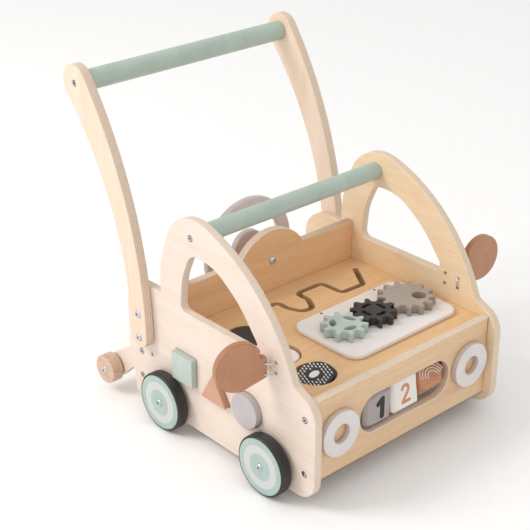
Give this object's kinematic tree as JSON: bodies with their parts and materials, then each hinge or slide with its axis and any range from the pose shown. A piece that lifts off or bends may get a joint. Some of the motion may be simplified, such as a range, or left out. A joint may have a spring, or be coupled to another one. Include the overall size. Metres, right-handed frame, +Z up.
{
  "type": "baby push walker",
  "caption": "Wooden baby push walker shaped like a small car, with gears, number blocks, flip discs and a shape sorter.",
  "frame": {"origin": "on the floor below the middle of the whole object", "axes": "+Z up, the front of the car faces -Y, +X to the right seen from the front"},
  "size_m": [0.5022, 0.473, 0.477],
  "materials": {
    "birch": "clear matt lacquer on birch plywood",
    "sage_paint": "painted wood, satin",
    "pale_sage_paint": "painted wood, satin",
    "cloud_grey_paint": "painted wood, satin",
    "white_paint": "painted wood, satin",
    "terracotta_paint": "painted wood, satin",
    "blush_paint": "painted wood, satin",
    "charcoal_paint": "painted wood, satin",
    "taupe_paint": "painted wood, satin",
    "beech": "clear lacquer on beech",
    "rubber": "matt black rubber",
    "zinc_steel": "zinc plated"
  },
  "bodies": {
    "chassis": {"side_panel_left": "birch", "side_panel_right": "birch", "front_panel": "birch", "back_panel": "birch", "tray": "birch", "rear_rail": "birch", "push_arm_left": "birch", "push_arm_right": "birch", "handle_dowel": "sage_paint", "roof_dowel": "sage_paint", "wheel_bolt_front_left": "zinc_steel", "wheel_bolt_front_right": "zinc_steel", "wheel_bolt_rear_left": "zinc_steel", "wheel_bolt_rear_right": "zinc_steel", "roller_bolt_left": "zinc_steel", "roller_bolt_right": "zinc_steel", "cube_rod": "zinc_steel", "flip_rod": "zinc_steel", "steering_bolt": "zinc_steel", "mirror_wire_left": "zinc_steel", "mirror_wire_right": "zinc_steel", "arm_bolt_lower_left": "zinc_steel", "arm_bolt_lower_right": "zinc_steel", "arm_bolt_upper_left": "zinc_steel", "arm_bolt_upper_right": "zinc_steel", "gear_pin_sage": "beech", "gear_pin_black": "beech", "gear_pin_taupe": "beech", "steering_spacer": "beech", "headlight_ring_left": "cloud_grey_paint", "headlight_ring_right": "cloud_grey_paint", "gear_board": "white_paint"},
    "wheel_front_left": {"wheel_disc_front_left": "pale_sage_paint", "tyre_front_left": "rubber"},
    "wheel_front_right": {"wheel_disc_front_right": "pale_sage_paint", "tyre_front_right": "rubber"},
    "wheel_rear_left": {"wheel_disc_rear_left": "pale_sage_paint", "tyre_rear_left": "rubber"},
    "wheel_rear_right": {"wheel_disc_rear_right": "pale_sage_paint", "tyre_rear_right": "rubber"},
    "roller_wheel_left": {"roller_left": "beech"},
    "roller_wheel_right": {"roller_right": "beech"},
    "cube_one": {"number_cube_one": "cloud_grey_paint"},
    "cube_two": {"number_cube_two": "white_paint"},
    "cube_three": {"number_cube_three": "terracotta_paint"},
    "flip_front": {"flip_disc_front": "charcoal_paint"},
    "flip_middle": {"flip_disc_middle": "white_paint"},
    "flip_rear": {"flip_disc_rear": "charcoal_paint"},
    "spur_sage": {"gear_sage": "pale_sage_paint"},
    "spur_black": {"gear_black": "charcoal_paint"},
    "spur_taupe": {"gear_taupe": "taupe_paint"},
    "steering": {"steering_wheel": "cloud_grey_paint"},
    "side_mirror_left": {"mirror_left": "terracotta_paint"},
    "side_mirror_right": {"mirror_right": "terracotta_paint"},
    "sorter_square": {"block_square": "pale_sage_paint"},
    "sorter_triangle": {"block_triangle": "blush_paint"},
    "sorter_round": {"block_round": "cloud_grey_paint"}
  },
  "joints": [
    {"name": "wheel_front_left_spin", "type": "hinge", "parent": "chassis", "child": "wheel_front_left", "pos_m": [-0.188, -0.1605, 0.042], "axis": [1, 0, 0], "continuous": true},
    {"name": "wheel_front_right_spin", "type": "hinge", "parent": "chassis", "child": "wheel_front_right", "pos_m": [0.188, -0.1605, 0.042], "axis": [1, 0, 0], "continuous": true},
    {"name": "wheel_rear_left_spin", "type": "hinge", "parent": "chassis", "child": "wheel_rear_left", "pos_m": [-0.188, 0.0435, 0.042], "axis": [1, 0, 0], "continuous": true},
    {"name": "wheel_rear_right_spin", "type": "hinge", "parent": "chassis", "child": "wheel_rear_right", "pos_m": [0.188, 0.0435, 0.042], "axis": [1, 0, 0], "continuous": true},
    {"name": "roller_left_spin", "type": "hinge", "parent": "chassis", "child": "roller_wheel_left", "pos_m": [-0.186, 0.1723, 0.0362], "axis": [1, 0, 0], "continuous": true},
    {"name": "roller_right_spin", "type": "hinge", "parent": "chassis", "child": "roller_wheel_right", "pos_m": [0.186, 0.1723, 0.0362], "axis": [1, 0, 0], "continuous": true},
    {"name": "cube_one_spin", "type": "hinge", "parent": "chassis", "child": "cube_one", "pos_m": [-0.0462, -0.196, 0.0925], "axis": [1, 0, 0], "continuous": true},
    {"name": "cube_two_spin", "type": "hinge", "parent": "chassis", "child": "cube_two", "pos_m": [0.005, -0.196, 0.0925], "axis": [1, 0, 0], "continuous": true},
    {"name": "cube_three_spin", "type": "hinge", "parent": "chassis", "child": "cube_three", "pos_m": [0.0562, -0.196, 0.0925], "axis": [1, 0, 0], "continuous": true},
    {"name": "flip_front_spin", "type": "hinge", "parent": "chassis", "child": "flip_front", "pos_m": [-0.11, -0.168, 0.141], "axis": [0, 1, 0], "continuous": true},
    {"name": "flip_middle_spin", "type": "hinge", "parent": "chassis", "child": "flip_middle", "pos_m": [-0.11, -0.103, 0.141], "axis": [0, 1, 0], "continuous": true},
    {"name": "flip_rear_spin", "type": "hinge", "parent": "chassis", "child": "flip_rear", "pos_m": [-0.11, -0.038, 0.141], "axis": [0, 1, 0], "continuous": true},
    {"name": "gear_sage_spin", "type": "hinge", "parent": "chassis", "child": "spur_sage", "pos_m": [-0.014, -0.1235, 0.16], "axis": [0, 0, 1], "continuous": true},
    {"name": "gear_black_spin", "type": "hinge", "parent": "chassis", "child": "spur_black", "pos_m": [0.042, -0.1235, 0.16], "axis": [0, 0, 1], "continuous": true},
    {"name": "gear_taupe_spin", "type": "hinge", "parent": "chassis", "child": "spur_taupe", "pos_m": [0.1064, -0.1235, 0.16], "axis": [0, 0, 1], "continuous": true},
    {"name": "steering_spin", "type": "hinge", "parent": "chassis", "child": "steering", "pos_m": [0.004, 0.0885, 0.1935], "axis": [0, 1, 0], "continuous": true},
    {"name": "mirror_left_swing", "type": "hinge", "parent": "chassis", "child": "side_mirror_left", "pos_m": [-0.175, -0.1545, 0.1797], "axis": [0, 0, 1], "range_deg": [-40, 40]},
    {"name": "mirror_right_swing", "type": "hinge", "parent": "chassis", "child": "side_mirror_right", "pos_m": [0.175, -0.1545, 0.1797], "axis": [0, 0, 1], "range_deg": [-40, 40]},
    {"name": "block_square_slide", "type": "slide", "parent": "chassis", "child": "sorter_square", "axis": [-1, 0, 0], "range_m": [-0.008, 0.03]},
    {"name": "block_triangle_slide", "type": "slide", "parent": "chassis", "child": "sorter_triangle", "axis": [-1, 0, 0], "range_m": [-0.008, 0.03]},
    {"name": "block_round_slide", "type": "slide", "parent": "chassis", "child": "sorter_round", "axis": [-1, 0, 0], "range_m": [-0.008, 0.03]}
  ],
  "couplings": [
    {"joint": "gear_sage_spin", "follows": "gear_black_spin", "ratio": -1},
    {"joint": "gear_taupe_spin", "follows": "gear_black_spin", "ratio": -0.76923}
  ]
}
